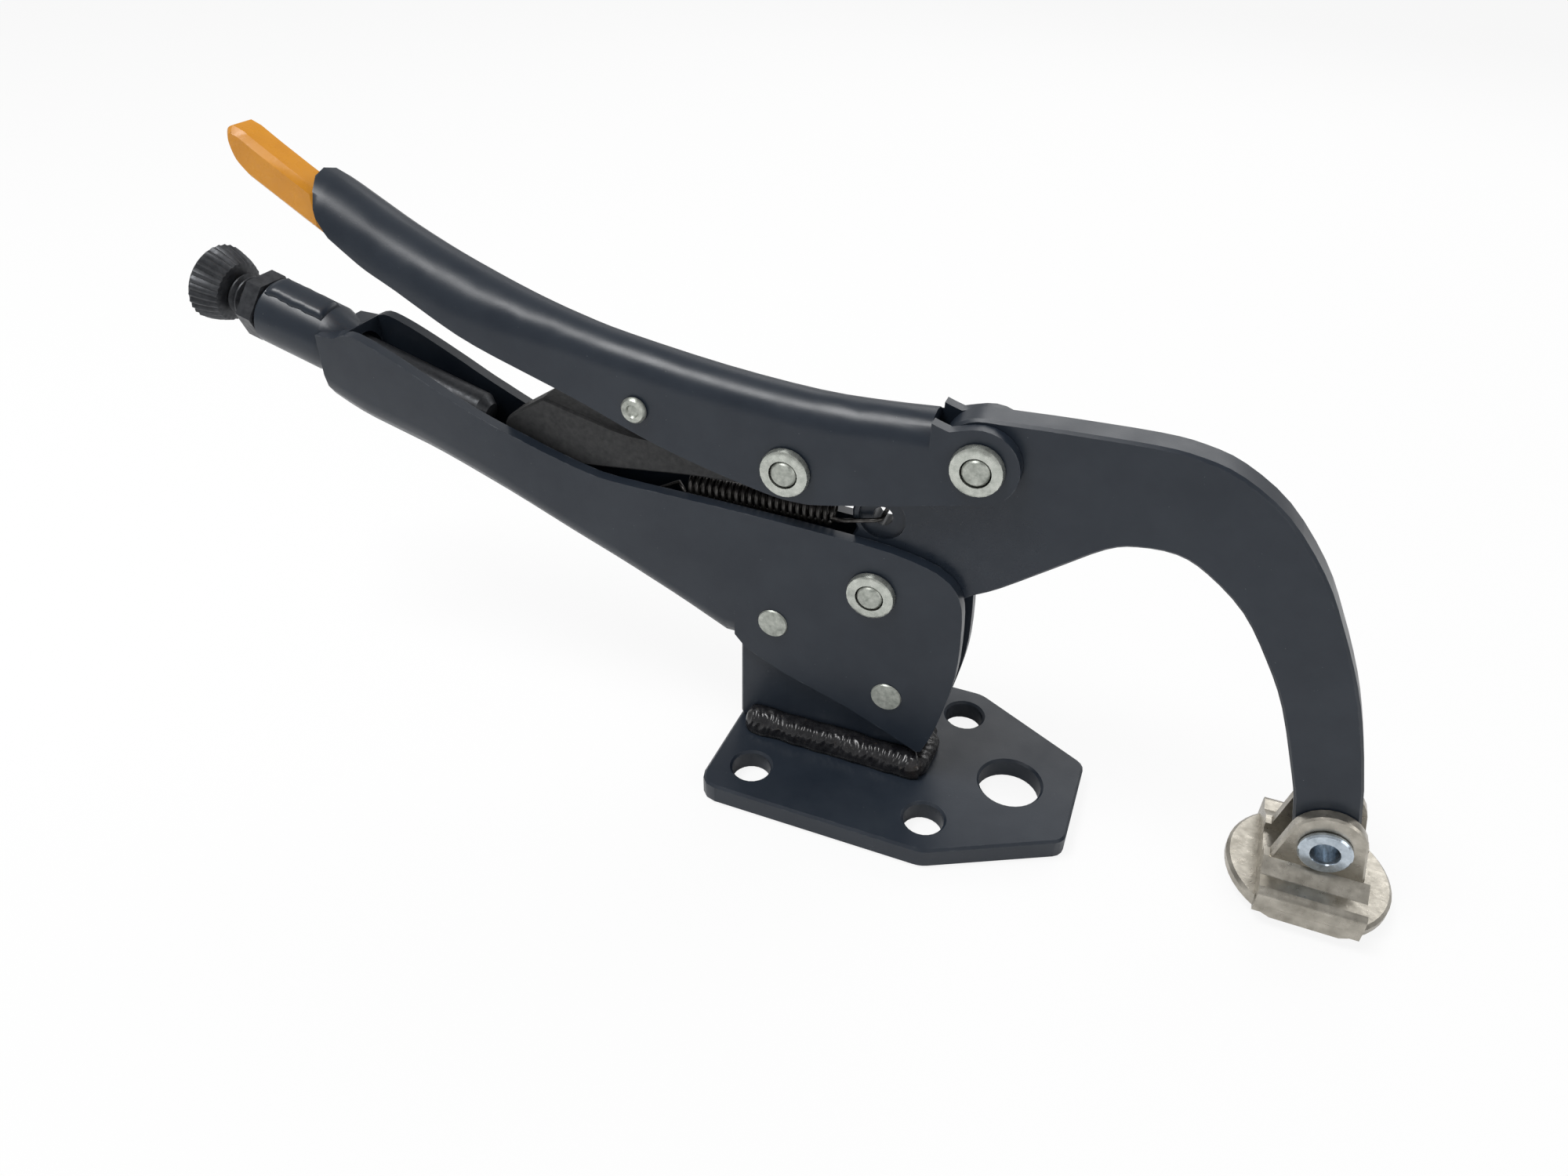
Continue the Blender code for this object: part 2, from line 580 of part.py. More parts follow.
# ---- lever --------------------------------------------------------------------------------
LEVER_CREST = [(-83.9, 45.6), (-81.8, 44.6), (-78.7, 43.0), (-73.3, 40.2), (-66.4, 37.2), (-59.5, 34.7),
               (-52.6, 32.6), (-45.8, 30.9), (-38.6, 29.5), (-24.0, 27.6), (-10.6, 26.7), (-1.5, 27.0),
               (5.5, 27.6)]
LEVER_EDGE = [(-81.2, 38.2), (-78.4, 36.2), (-75.8, 34.5), (-71.3, 32.3), (-62.2, 27.5), (-53.1, 23.7),
              (-43.2, 19.9), (-33.1, 16.2), (-23.4, 13.7), (-15.3, 12.1), (-11.5, 11.9), (-8.1, 12.3),
              (2.4, 14.8)]


def lever_crest(x):
    """Height of the lever's crest at x, on its smooth curve."""
    curve = handle_curve(LEVER_CREST, 4)
    for a, b in zip(curve, curve[1:]):
        if a[0] <= x <= b[0]:
            return a[1] + (b[1] - a[1]) * (x - a[0]) / (b[0] - a[0])
    return curve[0][1] if x < curve[0][0] else curve[-1][1]


def make_lever():
    """Inverted channel with a rounded back, open in front of the S-shaped shoulder."""
    shoulder = LEVER_PIVOT.x - LEVER_END_R * 1.2
    low, high = LEVER_PIVOT.z - HANDLE_LENGTH * 0.5, LEVER_PIVOT.z + HANDLE_LENGTH * 0.5
    crest = handle_curve(LEVER_CREST, 3)
    stations = [p for p in crest if p[0] < shoulder - 1.0 * MM]
    stations.insert(0, (stations[0][0] - 8 * MM, stations[0][1] + 4.0 * MM))
    stations += [(shoulder - 0.1 * MM, lever_crest(shoulder))]
    front = LEVER_PIVOT.x + LEVER_END_R * 2
    rings = [channel_ring(x, z, low, half_width(x, GRIP_WIDTH), 1) for x, z in stations]
    rings += [channel_ring(shoulder, high, low, HALF_OUT, 1), channel_ring(front, high, low, HALF_OUT, 1)]
    body = loft("lever", rings, "black_coat", LEVER_PIVOT)
    rear = [on_handle(-85.0, 47.0), on_handle(-83.6, 43.6), on_handle(-82.9, 40.6)]
    side = [(p.x, p.z) for p in rear]
    side += handle_curve(LEVER_EDGE, 3)
    side += arc(LEVER_PIVOT, LEVER_END_R, -58, 105, 12)
    dip = LEVER_PIVOT.z + LEVER_END_R * 0.80
    side += [(LEVER_PIVOT.x - LEVER_END_R * 0.50, dip + 0.7 * MM), (LEVER_PIVOT.x - LEVER_END_R * 0.78, dip),
             (LEVER_PIVOT.x - LEVER_END_R * 1.05, dip + 0.6 * MM), (shoulder - 0.3 * MM, dip + 1.1 * MM),
             (shoulder - 0.3 * MM, high), (on_handle(-85.0, 0.0).x, high)]
    outline = blade("lever_side_profile", [side], 60 * MM, "black_coat", LEVER_PIVOT, edge=0.0)
    boolean(body, outline, 'INTERSECT')
    hollow = [channel_ring(x, z - SHEET_T, low - 5 * MM, half_width(x, GRIP_WIDTH) - SHEET_T, 1)
              for x, z in stations[:-1]]
    hollow.insert(0, channel_ring(stations[0][0] - 10 * MM, stations[0][1] + 5 * MM - SHEET_T, low - 5 * MM,
                                  GRIP_WIDTH / 2 - SHEET_T, 1))
    web_end = shoulder - 0.5 * MM
    hollow += [channel_ring(web_end, lever_crest(shoulder) - SHEET_T, low - 5 * MM, HALF_IN, 1),
               channel_ring(shoulder - 0.4 * MM, high + 5 * MM, low - 5 * MM, HALF_IN, 1),
               channel_ring(front + 10 * MM, high + 5 * MM, low - 5 * MM, HALF_IN, 1)]
    boolean(body, loft("lever_hollow", hollow, "black_coat", LEVER_PIVOT), 'DIFFERENCE')
    for label, place, diameter in (("front", LEVER_PIVOT, PIN_D), ("toggle", TOGGLE_PIVOT, PIN_D),
                                   ("release", RELEASE_PIVOT, RELEASE_PIN_D)):
        boolean(body, rod("lever_hole_" + label, place, diameter + 2 * GAP, 60 * MM), 'DIFFERENCE')
    return body


# ---- toggle link --------------------------------------------------------------------------


def make_toggle_link():
    """Blade from the lever to the tip of the adjusting screw."""
    top = handle_curve([(-50.6, 18.2), (-45.5, 17.0), (-38.0, 15.6), (-29.0, 16.2), (-20.0, 19.6)], 3)
    foot = handle_curve([(-20.0, 11.6), (-29.0, 10.9), (-38.0, 9.7), (-47.0, 8.6), (-54.5, 8.4)], 3)
    nose = arc(CONTACT + Vector((4.6 * MM, 0.0, 0.6 * MM)), 4.6 * MM, 250, 130, 8)
    rear_top = on_handle(-51.6, 18.4)
    outline = (arc(TOGGLE_PIVOT, TOGGLE_R, 110, -110, 14) + foot + nose + [(rear_top.x, rear_top.z)] + top)
    return blade("toggle_link", [outline, hole(TOGGLE_PIVOT, PIN_D + 2 * GAP)], BLADE_T, "brown_steel",
                 TOGGLE_PIVOT)


# ---- release lever ------------------------------------------------------------------------
RELEASE_TOP = [(-94.8, 48.2), (-84.6, 42.2), (-79.5, 39.6), (-71.0, 35.6), (-60.0, 31.3), (-48.0, 27.6),
               (-41.0, 25.6)]
RELEASE_FOOT = [(-38.5, 17.9), (-43.0, 20.0), (-50.0, 23.2), (-60.0, 27.6), (-70.0, 32.2), (-79.5, 37.4),
                (-84.4, 38.0), (-95.2, 44.6)]


def make_release_lever():
    """Long finger inside the lever that prises the toggle link loose."""
    outline = handle_curve(RELEASE_TOP, 3) + arc(RELEASE_PIVOT, RELEASE_BOSS_R, 80, -130, 12)
    outline += handle_curve(RELEASE_FOOT, 3)
    return blade("release_lever", [outline, hole(RELEASE_PIVOT, RELEASE_PIN_D + 2 * GAP, 24)], RELEASE_T,
                 "blackened_steel", RELEASE_PIVOT)


def make_release_grip():
    """Vinyl dip over the end of the release lever, with a pocket that the steel sits in."""
    skin_top = handle_curve([(-84.9, 43.3), (-88.5, 45.4), (-92.5, 47.8), (-95.8, 49.9)], 3)
    end = handle_curve([(-97.4, 50.5), (-98.5, 49.9), (-98.9, 48.3), (-98.2, 45.7), (-96.4, 43.7)], 5)
    skin_foot = handle_curve([(-92.5, 41.4), (-88.5, 39.0), (-84.7, 36.8)], 3)
    grip = blade("release_grip", [skin_top + end + skin_foot], TIP_WIDTH, "yellow_vinyl", RELEASE_PIVOT,
                 edge=1.2 * MM)
    room = GAP / MM / HANDLE_LENGTH * MM * 100
    pocket_top = handle_curve([(x, z + room) for x, z in RELEASE_TOP[:2]] + [(-82.0, 41.0 + room)], 2)
    pocket_foot = handle_curve([(-82.0, 36.0 - room), (-84.4, 38.0 - room), (-95.2 - room, 44.6 - room)], 2)
    pocket_top[0] = (pocket_top[0][0] - GAP, pocket_top[0][1])
    pocket = blade("grip_pocket", [pocket_top + pocket_foot], RELEASE_T + 2 * GAP, "yellow_vinyl",
                   RELEASE_PIVOT, edge=0.0)
    return boolean(grip, pocket, 'DIFFERENCE')


def make_release_pin():
    """Small tubular rivet that the release lever turns on."""
    face = HALF_OUT + GAP
    end = face + RELEASE_HEAD_T
    shank, head, dish = RELEASE_PIN_D / 2, RELEASE_HEAD_D / 2, RELEASE_PIN_D * 0.3
    profile = [(0.0, end - 0.6 * MM), (dish, end - 0.5 * MM), (dish + 0.3 * MM, end), (head - 0.4 * MM, end),
               (head, end - 0.5 * MM), (head, face), (shank, face), (shank, -face), (head, -face),
               (head, 0.5 * MM - end), (head - 0.4 * MM, -end), (dish + 0.3 * MM, -end),
               (dish, 0.5 * MM - end), (0.0, 0.6 * MM - end)]
    return turned("release_pin", profile, "zinc", RELEASE_PIVOT, Vector((0.0, 1.0, 0.0)))


# ---- adjusting screw, lock nut ------------------------------------------------------------
def make_adjusting_screw():
    """Threaded rod from the contact clearance to the knob, with ring grooves for the thread."""
    rear = (TUBE_END - CONTACT).length + GAP + NUT_T + THREAD_SHOWN
    profile = [(0.0, rear), (SCREW_D / 2 - THREAD_DEPTH, rear)]
    height = rear - THREAD_PITCH
    stop = rear - THREAD_SHOWN - NUT_T - 2 * THREAD_PITCH
    while height > stop:
        profile += [(SCREW_D / 2, height + THREAD_PITCH * 0.55), (SCREW_D / 2, height + THREAD_PITCH * 0.35),
                    (SCREW_D / 2 - THREAD_DEPTH, height)]
        height -= THREAD_PITCH
    body = SCREW_D / 2 - THREAD_DEPTH
    profile += [(body, CONTACT_GAP + 2 * MM), (body - 1.5 * MM, CONTACT_GAP), (0.0, CONTACT_GAP)]
    return turned("adjusting_screw", profile, "blackened_steel", CONTACT, SCREW_OUT, 20)


def make_knob():
    """Knurled knob that narrows towards the nut."""
    start = (TUBE_END - CONTACT).length + 2 * GAP + NUT_T + THREAD_SHOWN
    up = SCREW_OUT.cross(Vector((0.0, 1.0, 0.0)))
    side = Vector((0.0, 1.0, 0.0))
    full, front = KNOB_D / 2, KNOB_FRONT_D / 2
    stations = [(0.0, front - 1.0 * MM, 0.0), (0.3 * MM, front, 0.7),
                (KNOB_LENGTH * 0.35, (front + full) / 2, 1.0), (KNOB_LENGTH * 0.65, full - 0.3 * MM, 1.0),
                (KNOB_LENGTH - 0.6 * MM, full, 1.0),
                (KNOB_LENGTH, full - 0.7 * MM, 0.0)]
    rings = []
    for forward, radius, knurl in stations:
        ring = []
        for i in range(KNURL_COUNT * 4):
            angle = 2 * math.pi * i / (KNURL_COUNT * 4)
            r = radius - knurl * KNURL_DEPTH * (1.0 if i % 4 == 0 else 0.35 if i % 2 else 0.0)
            ring.append(CONTACT + SCREW_OUT * (start + forward) + up * r * math.cos(angle)
                        + side * r * math.sin(angle))
        rings.append(ring)
    return loft("adjusting_knob", rings, "blackened_steel", CONTACT + SCREW_OUT * start)


def make_lock_nut():
    """Thin hexagon nut against the end of the handle tube."""
    place = TUBE_END + SCREW_OUT * (GAP + NUT_T / 2)
    up = SCREW_OUT.cross(Vector((0.0, 1.0, 0.0)))
    side = Vector((0.0, 1.0, 0.0))
    corner = NUT_FLATS / math.sqrt(3)
    chamfer = 0.5 * MM
    rings = []
    for forward, radius in ((-NUT_T / 2, corner - chamfer), (chamfer * 0.5 - NUT_T / 2, corner),
                            (NUT_T / 2 - chamfer * 0.5, corner), (NUT_T / 2, corner - chamfer)):
        rings.append([place + SCREW_OUT * forward + up * radius * math.cos(math.radians(30 + 60 * i))
                      + side * radius * math.sin(math.radians(30 + 60 * i)) for i in range(6)])
    nut = loft("lock_nut", rings, "blackened_steel", place)
    return boolean(nut, rod("nut_bore", place, SCREW_D + 2 * GAP, NUT_T * 3, axis=SCREW_OUT), 'DIFFERENCE')


# ---- opening spring -----------------------------------------------------------------------
def make_spring():
    """Tension coil with a hook through the jaw and a long rear leg inside the handle."""
    coil_front = SPRING_HOLE + Vector((-10.2 * MM, 0.0, -3.4 * MM))
    coil_rear = coil_front + Vector((-SPRING_LENGTH, 0.0, -0.8 * MM))
    along = (coil_rear - coil_front).normalized()
    up = Vector((0.0, 1.0, 0.0)).cross(along)
    radius = (SPRING_D - SPRING_WIRE_D) / 2
    side = Vector((0.0, 1.0, 0.0))
    clear = BLADE_T / 2 + SPRING_WIRE_D / 2 + GAP
    past_lug = -SPRING_LUG_R - SPRING_WIRE_D
    points = [SPRING_HOLE + side * (clear - 0.5 * MM), SPRING_HOLE, SPRING_HOLE - side * (clear - 0.4 * MM),
              SPRING_HOLE - side * clear + Vector((-MM, 0.0, -0.3 * MM)),
              SPRING_HOLE - side * clear + Vector((past_lug, 0.0, -1.9 * MM))]
    start = coil_front - side * radius
    points.append(start)
    per_turn = 8
    for i in range(1, SPRING_TURNS * per_turn):
        angle = 2 * math.pi * i / per_turn
        points.append(coil_front + (coil_rear - coil_front) * i / (SPRING_TURNS * per_turn)
                      - side * radius * math.cos(angle) + up * radius * math.sin(angle))
    leg_end = SPRING_TAB + Vector((-1.2 * MM, 0.0, 0.0))
    points += [coil_rear + along * 2 * MM, leg_end + Vector((6 * MM, 0.0, 2.0 * MM)),
               leg_end + Vector((1.0 * MM, 0.0, 0.0)), leg_end,
                leg_end + Vector((-1.6 * MM, 0.0, -0.2 * MM))]
    curve = bpy.data.curves.new("opening_spring", 'CURVE')
    curve.dimensions = '3D'
    curve.bevel_depth = SPRING_WIRE_D / 2
    curve.bevel_resolution = 1
    curve.use_fill_caps = True
    spline = curve.splines.new('POLY')
    spline.points.add(len(points) - 1)
    for point, place in zip(spline.points, points):
        point.co = (*(place - SPRING_HOLE), 1.0)
    made = bpy.data.objects.new("opening_spring", curve)
    made.location = SPRING_HOLE
    PARTS.objects.link(made)
    curve.materials.append(material("opening_spring", "spring_steel"))
    return made


# ---- swivel pad ---------------------------------------------------------------------------
def make_swivel_pad():
    """Cast foot: round rim, raised bar across it and two ears for the eyelet."""
    x, foot_top = PAD_PIVOT.x, PAD_BOTTOM + PAD_FOOT_T
    rim, edge = PAD_D / 2, 0.6 * MM
    profile = [(0.0, PAD_RIM_T), (rim - edge, PAD_RIM_T), (rim, PAD_RIM_T - edge), (rim, edge),
               (rim - edge, 0.0), (0.0, 0.0)]
    pad = turned("swivel_pad", profile, "nickel", Vector((x, 0.0, PAD_BOTTOM)), Vector((0.0, 0.0, 1.0)), 48)
    half_x, half_y = PAD_FOOT_LENGTH / 2, PAD_FOOT_WIDTH / 2
    keep = rounded([(x - rim - MM, -half_y, MM), (x + rim + MM, -half_y, MM), (x + rim + MM, half_y, MM),
                    (x - rim - MM, half_y, MM)])
    boolean(pad, blade("pad_chords", [keep], 40 * MM, "nickel", PAD_PIVOT, edge=0.0, middle=PAD_BOTTOM,
                       upright=False), 'INTERSECT')
    ear_out = HALF_IN + EAR_T
    crown = min(foot_top + 2.6 * MM, PAD_PIVOT.z - EYELET_FLANGE_D / 2 - 2 * GAP)
    lip = half_y - 0.02 * MM
    half_section = [(lip, PAD_BOTTOM + edge, 0.3 * MM), (lip, foot_top, 1.4 * MM),
                    (ear_out + 3.4 * MM, foot_top, 0.6 * MM), (ear_out, crown, 0.2 * MM)]
    section = rounded([(-y, z, r) for y, z, r in half_section[:1]] + half_section
                      + [(-y, z, r) for y, z, r in reversed(half_section[1:])])
    rings = [[Vector((x + side, y, z)) for y, z in section] for side in (-half_x, half_x)]
    boolean(pad, loft("pad_bar", rings, "nickel", PAD_PIVOT), 'UNION')
    ear = [(x - half_x + 0.3 * MM, foot_top - 2 * MM), (x + half_x - 0.3 * MM, foot_top - 2 * MM)]
    ear += arc(PAD_PIVOT + Vector((0.0, 0.0, EAR_RISE)), EAR_TOP_R, 15, 165, 12)
    boolean(pad, blade("pad_ears", [ear], 2 * ear_out, "nickel", PAD_PIVOT, edge=0.4 * MM), 'UNION')
    slot_low = PAD_PIVOT.z - JAW_ARM_WIDTH / 2 - 3 * GAP
    slot = [(x - 30 * MM, slot_low), (x + 30 * MM, slot_low), (x + 30 * MM, slot_low + 60 * MM),
            (x - 30 * MM, slot_low + 60 * MM)]
    boolean(pad, blade("pad_slot", [slot], 2 * HALF_IN, "nickel", PAD_PIVOT, edge=0.0), 'DIFFERENCE')
    boolean(pad, rod("pad_eye", PAD_PIVOT, EYELET_D + 2 * GAP, 60 * MM), 'DIFFERENCE')
    return pad


def make_eyelet():
    """Hollow rivet through the ears and the jaw, rolled over at both ends."""
    face = HALF_IN + EAR_T + GAP
    end = face + EYELET_FLANGE_T
    bore, body, rim, edge = EYELET_BORE_D / 2, EYELET_D / 2, EYELET_FLANGE_D / 2, 0.35 * MM
    profile = [(bore, end - 2 * edge), (bore + edge, end), (rim - edge, end), (rim, end - edge), (rim, face),
               (body, face), (body, -face), (rim, -face), (rim, edge - end), (rim - edge, -end),
               (bore + edge, -end), (bore, 2 * edge - end)]
    return turned("pad_eyelet", profile, "zinc", PAD_PIVOT, Vector((0.0, 1.0, 0.0)))



make_base_plate()
make_tongue()
make_weld("weld_near", -1)
make_weld("weld_far", 1)
make_weld_end()
make_fixed_handle()
make_flush_rivet("tongue_rivet_rear", RIVET_REAR)
make_flush_rivet("tongue_rivet_front", RIVET_FRONT)
make_jaw()
make_pivot("jaw_pivot", JAW_PIVOT)
make_pivot("lever_pivot", LEVER_PIVOT)
make_pivot("toggle_pivot", TOGGLE_PIVOT)
make_lever()
make_toggle_link()
make_release_lever()
make_release_grip()
make_release_pin()
make_adjusting_screw()
make_knob()
make_lock_nut()
make_spring()
make_swivel_pad()
make_eyelet()
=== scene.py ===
import json
import math

import bmesh
import bpy
from mathutils import Matrix, Vector, noise


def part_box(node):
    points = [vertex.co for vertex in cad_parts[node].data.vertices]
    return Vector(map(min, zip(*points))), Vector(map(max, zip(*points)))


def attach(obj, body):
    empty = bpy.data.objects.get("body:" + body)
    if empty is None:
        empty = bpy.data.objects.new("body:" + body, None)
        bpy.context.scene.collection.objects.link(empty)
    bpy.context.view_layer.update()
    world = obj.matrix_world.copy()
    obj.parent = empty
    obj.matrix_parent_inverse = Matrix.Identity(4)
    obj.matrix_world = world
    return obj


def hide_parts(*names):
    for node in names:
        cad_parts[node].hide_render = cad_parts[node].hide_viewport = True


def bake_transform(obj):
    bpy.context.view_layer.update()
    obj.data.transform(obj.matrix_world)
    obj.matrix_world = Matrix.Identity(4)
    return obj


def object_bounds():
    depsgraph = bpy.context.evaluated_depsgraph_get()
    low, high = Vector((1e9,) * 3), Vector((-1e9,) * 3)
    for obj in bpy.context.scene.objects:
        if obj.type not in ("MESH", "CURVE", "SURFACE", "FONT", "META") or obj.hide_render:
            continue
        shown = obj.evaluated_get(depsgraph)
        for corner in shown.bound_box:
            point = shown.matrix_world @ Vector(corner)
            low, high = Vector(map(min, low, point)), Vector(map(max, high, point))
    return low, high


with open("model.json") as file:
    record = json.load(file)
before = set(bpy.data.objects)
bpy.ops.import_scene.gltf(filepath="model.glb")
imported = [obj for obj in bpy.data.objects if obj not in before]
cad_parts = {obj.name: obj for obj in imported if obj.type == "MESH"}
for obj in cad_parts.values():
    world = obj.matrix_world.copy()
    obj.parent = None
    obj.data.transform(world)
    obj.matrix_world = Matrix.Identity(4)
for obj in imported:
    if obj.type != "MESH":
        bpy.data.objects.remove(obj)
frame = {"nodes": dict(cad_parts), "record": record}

CAD_BOX = [list(map(float, corner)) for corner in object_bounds()]
MM = 0.001
ACROSS = Vector((0.0, 1.0, 0.0))  # along the pivots, from the near side to the far side

NODES = frame["nodes"]
SLOTS = {entry["node"]: entry["material_slot"] for entry in frame["record"]["subparts"]}
BODY_OF = {node: body for body, nodes in frame["record"]["behaviour"]["bodies"].items() for node in nodes}


# ---- materials ----------------------------------------------------------------------------
EDGE_WEAR_AND_HIGHLIGHT_START = 0.02            # turn of the surface, as 1 less its cosine, where the edge wear and painted highlight start
EDGE_WEAR_AND_HIGHLIGHT_FULL = 0.22             # and where they are complete

COAT_DARK = (0.0120, 0.0175, 0.0270)
COAT_LIGHT = (0.0190, 0.0255, 0.0360)
COAT_DUST = (0.16, 0.17, 0.18)
# lighter coat colour on the edges: partly worn-through coat, partly painted highlight
COAT_WORN_AND_HIGHLIGHT = (0.16, 0.17, 0.18)
COAT_RUBBED_ROUGHNESS = (0.24, 0.24, 0.24)
JAW_RUB = ((0.020, -0.003, 0.063), 6 * MM, 26 * MM)         # centre, inner and outer distance

WELD_DARK = (0.006, 0.006, 0.0075)
WELD_LIGHT = (0.020, 0.020, 0.022)
WELD_SPATTER = (0.070, 0.052, 0.038)
WELD_SCORCH = ((0.0135, -0.0060, 0.0070), 0.3 * MM, 2.6 * MM)

NICKEL_DARK = (0.30, 0.28, 0.24)
NICKEL_LIGHT = (0.52, 0.49, 0.43)
NICKEL_STAIN = (0.085, 0.055, 0.035)
PAD_STAIN = ((0.0965, 0.006, 0.013), 1.5 * MM, 8 * MM)

# lighter steel colour on the edges: partly rubbed wear, partly painted highlight
STEEL_WORN_AND_HIGHLIGHT = (0.10, 0.10, 0.10)

VINYL_DARK = (0.58, 0.225, 0.002)
VINYL_LIGHT = (0.66, 0.270, 0.003)
VINYL_DUST = (0.30, 0.15, 0.02)


class Shader:
    """A Principled material with the few nodes that the finishes share."""

    def __init__(self, name):
        self.material = bpy.data.materials.new(name)
        self.material.use_nodes = True
        self.tree = self.material.node_tree
        self.bsdf = self.tree.nodes["Principled BSDF"]
        self.coords = self.tree.nodes.new("ShaderNodeTexCoord").outputs["Object"]

    def link(self, output, socket):
        self.tree.links.new(output, socket)

    def noise(self, size, detail=3.0, rough=0.55):
        """Noise with blotches of about that size."""
        node = self.tree.nodes.new("ShaderNodeTexNoise")
        node.inputs["Scale"].default_value = 1.0 / size
        node.inputs["Detail"].default_value = detail
        node.inputs["Roughness"].default_value = rough
        self.link(self.coords, node.inputs["Vector"])
        return node.outputs["Fac"]

    def cells(self, size):
        """Distance to the nearest of many points scattered about that size apart."""
        node = self.tree.nodes.new("ShaderNodeTexVoronoi")
        node.inputs["Scale"].default_value = 1.0 / size
        self.link(self.coords, node.inputs["Vector"])
        return node.outputs["Distance"]

    def ramp(self, value, *stops):
        """The value coloured between two stops, each a place with a colour or a grey."""
        node = self.tree.nodes.new("ShaderNodeValToRGB")
        for element, (place, colour) in zip(node.color_ramp.elements, stops):
            element.position = place
            element.color = (*colour, 1.0) if isinstance(colour, tuple) else (colour, colour, colour, 1.0)
        self.link(value, node.inputs["Fac"])
        return node.outputs["Color"]

    def mottle(self, size, low, high, detail=3.0, rough=0.55):
        """Noise coloured between two stops."""
        return self.ramp(self.noise(size, detail, rough), low, high)

    def cover(self, factor, below, colour):
        """A plain colour laid over what is below, as strongly as the factor."""
        node = self.tree.nodes.new("ShaderNodeMix")
        node.data_type = 'RGBA'
        self.link(factor, node.inputs[0])
        self.link(below, node.inputs[6])
        node.inputs[7].default_value = (*colour, 1.0)
        return node.outputs[2]

    def times(self, a, b):
        node = self.tree.nodes.new("ShaderNodeMath")
        node.operation = 'MULTIPLY'
        self.link(a, node.inputs[0])
        if isinstance(b, float):
            node.inputs[1].default_value = b
        else:
            self.link(b, node.inputs[1])
        return node.outputs[0]

    def plus(self, a, b):
        node = self.tree.nodes.new("ShaderNodeMath")
        node.operation = 'ADD'
        node.use_clamp = True
        self.link(a, node.inputs[0])
        self.link(b, node.inputs[1])
        return node.outputs[0]

    def edges(self, radius):
        """1 on convex and concave edges within the radius, 0 on flat metal; the finishes lighten these
        edges, partly as wear and partly as painted highlight.
        """
        soft = self.tree.nodes.new("ShaderNodeBevel")
        soft.samples = 4
        soft.inputs["Radius"].default_value = radius
        true = self.tree.nodes.new("ShaderNodeNewGeometry")
        dot = self.tree.nodes.new("ShaderNodeVectorMath")
        dot.operation = 'DOT_PRODUCT'
        self.link(soft.outputs["Normal"], dot.inputs[0])
        self.link(true.outputs["Normal"], dot.inputs[1])
        turn = self.tree.nodes.new("ShaderNodeMapRange")
        turn.inputs["From Min"].default_value = 1.0 - EDGE_WEAR_AND_HIGHLIGHT_START
        turn.inputs["From Max"].default_value = 1.0 - EDGE_WEAR_AND_HIGHLIGHT_FULL
        self.link(dot.outputs["Value"], turn.inputs["Value"])
        return turn.outputs["Result"]

    def near(self, centre, inner, outer):
        """1 within the inner distance of a point, 0 past the outer one."""
        distance = self.tree.nodes.new("ShaderNodeVectorMath")
        distance.operation = 'DISTANCE'
        self.link(self.coords, distance.inputs[0])
        distance.inputs[1].default_value = centre
        fade = self.tree.nodes.new("ShaderNodeMapRange")
        fade.inputs["From Min"].default_value = outer
        fade.inputs["From Max"].default_value = inner
        self.link(distance.outputs["Value"], fade.inputs["Value"])
        return fade.outputs["Result"]

    def bump(self, height, distance, strength):
        node = self.tree.nodes.new("ShaderNodeBump")
        node.inputs["Strength"].default_value = strength
        node.inputs["Distance"].default_value = distance
        self.link(height, node.inputs["Height"])
        self.link(node.outputs["Normal"], self.bsdf.inputs["Normal"])

    def colour(self, output):
        self.link(output, self.bsdf.inputs["Base Color"])

    def roughness(self, output):
        self.link(output, self.bsdf.inputs["Roughness"])

    def value(self, socket, number):
        self.bsdf.inputs[socket].default_value = number


def coat(name, rub=None):
    """Satin blue-black coat with dust specks and edges lightened as wear and as painted highlight,
    glossier round the rubbed point, if any.
    """
    look = Shader(name)
    tone = look.mottle(9 * MM, (0.30, COAT_DARK), (0.72, COAT_LIGHT), 4.0)
    specks = look.times(look.ramp(look.cells(1.5 * MM), (0.035, 1.0), (0.07, 0.0)),
                        look.mottle(5 * MM, (0.50, 0.0), (0.62, 1.0)))
    tone = look.cover(look.times(specks, 0.55), tone, COAT_DUST)
    # edges lightened: partly real wear, partly painted highlight along every edge
    worn_and_highlit = look.times(look.edges(0.45 * MM), look.mottle(2.2 * MM, (0.50, 0.0), (0.66, 1.0), 5.0))
    look.colour(look.cover(look.times(worn_and_highlit, 0.40), tone, COAT_WORN_AND_HIGHLIGHT))
    rough = look.mottle(6 * MM, (0.30, 0.30), (0.75, 0.40), 5.0)
    look.value("Specular IOR Level", 0.40)
    if rub:
        patch = look.times(look.near(*rub), look.mottle(3.5 * MM, (0.47, 0.0), (0.56, 1.0), 4.0, 0.7))
        rough = look.cover(patch, rough, COAT_RUBBED_ROUGHNESS)
    look.roughness(rough)
    height = look.plus(look.noise(0.35 * MM, 2.0), look.times(look.noise(2.4 * MM, 2.0), 0.6))
    look.bump(height, 0.02 * MM, 0.35)
    return look.material


def weld(name):
    """Coated weld bead, glossier than the sheet, with brown spatter spots and one scorched place."""
    look = Shader(name)
    tone = look.mottle(1.8 * MM, (0.35, WELD_DARK), (0.70, WELD_LIGHT), 5.0)
    spots = look.plus(look.mottle(1.1 * MM, (0.62, 0.0), (0.72, 1.0), 4.0, 0.7),
                      look.times(look.near(*WELD_SCORCH), 0.9))
    look.colour(look.cover(look.times(spots, 0.5), tone, WELD_SPATTER))
    look.roughness(look.mottle(0.9 * MM, (0.30, 0.12), (0.70, 0.34), 4.0))
    look.bump(look.noise(1.4 * MM, 3.0, 0.5), 0.10 * MM, 0.5)
    return look.material


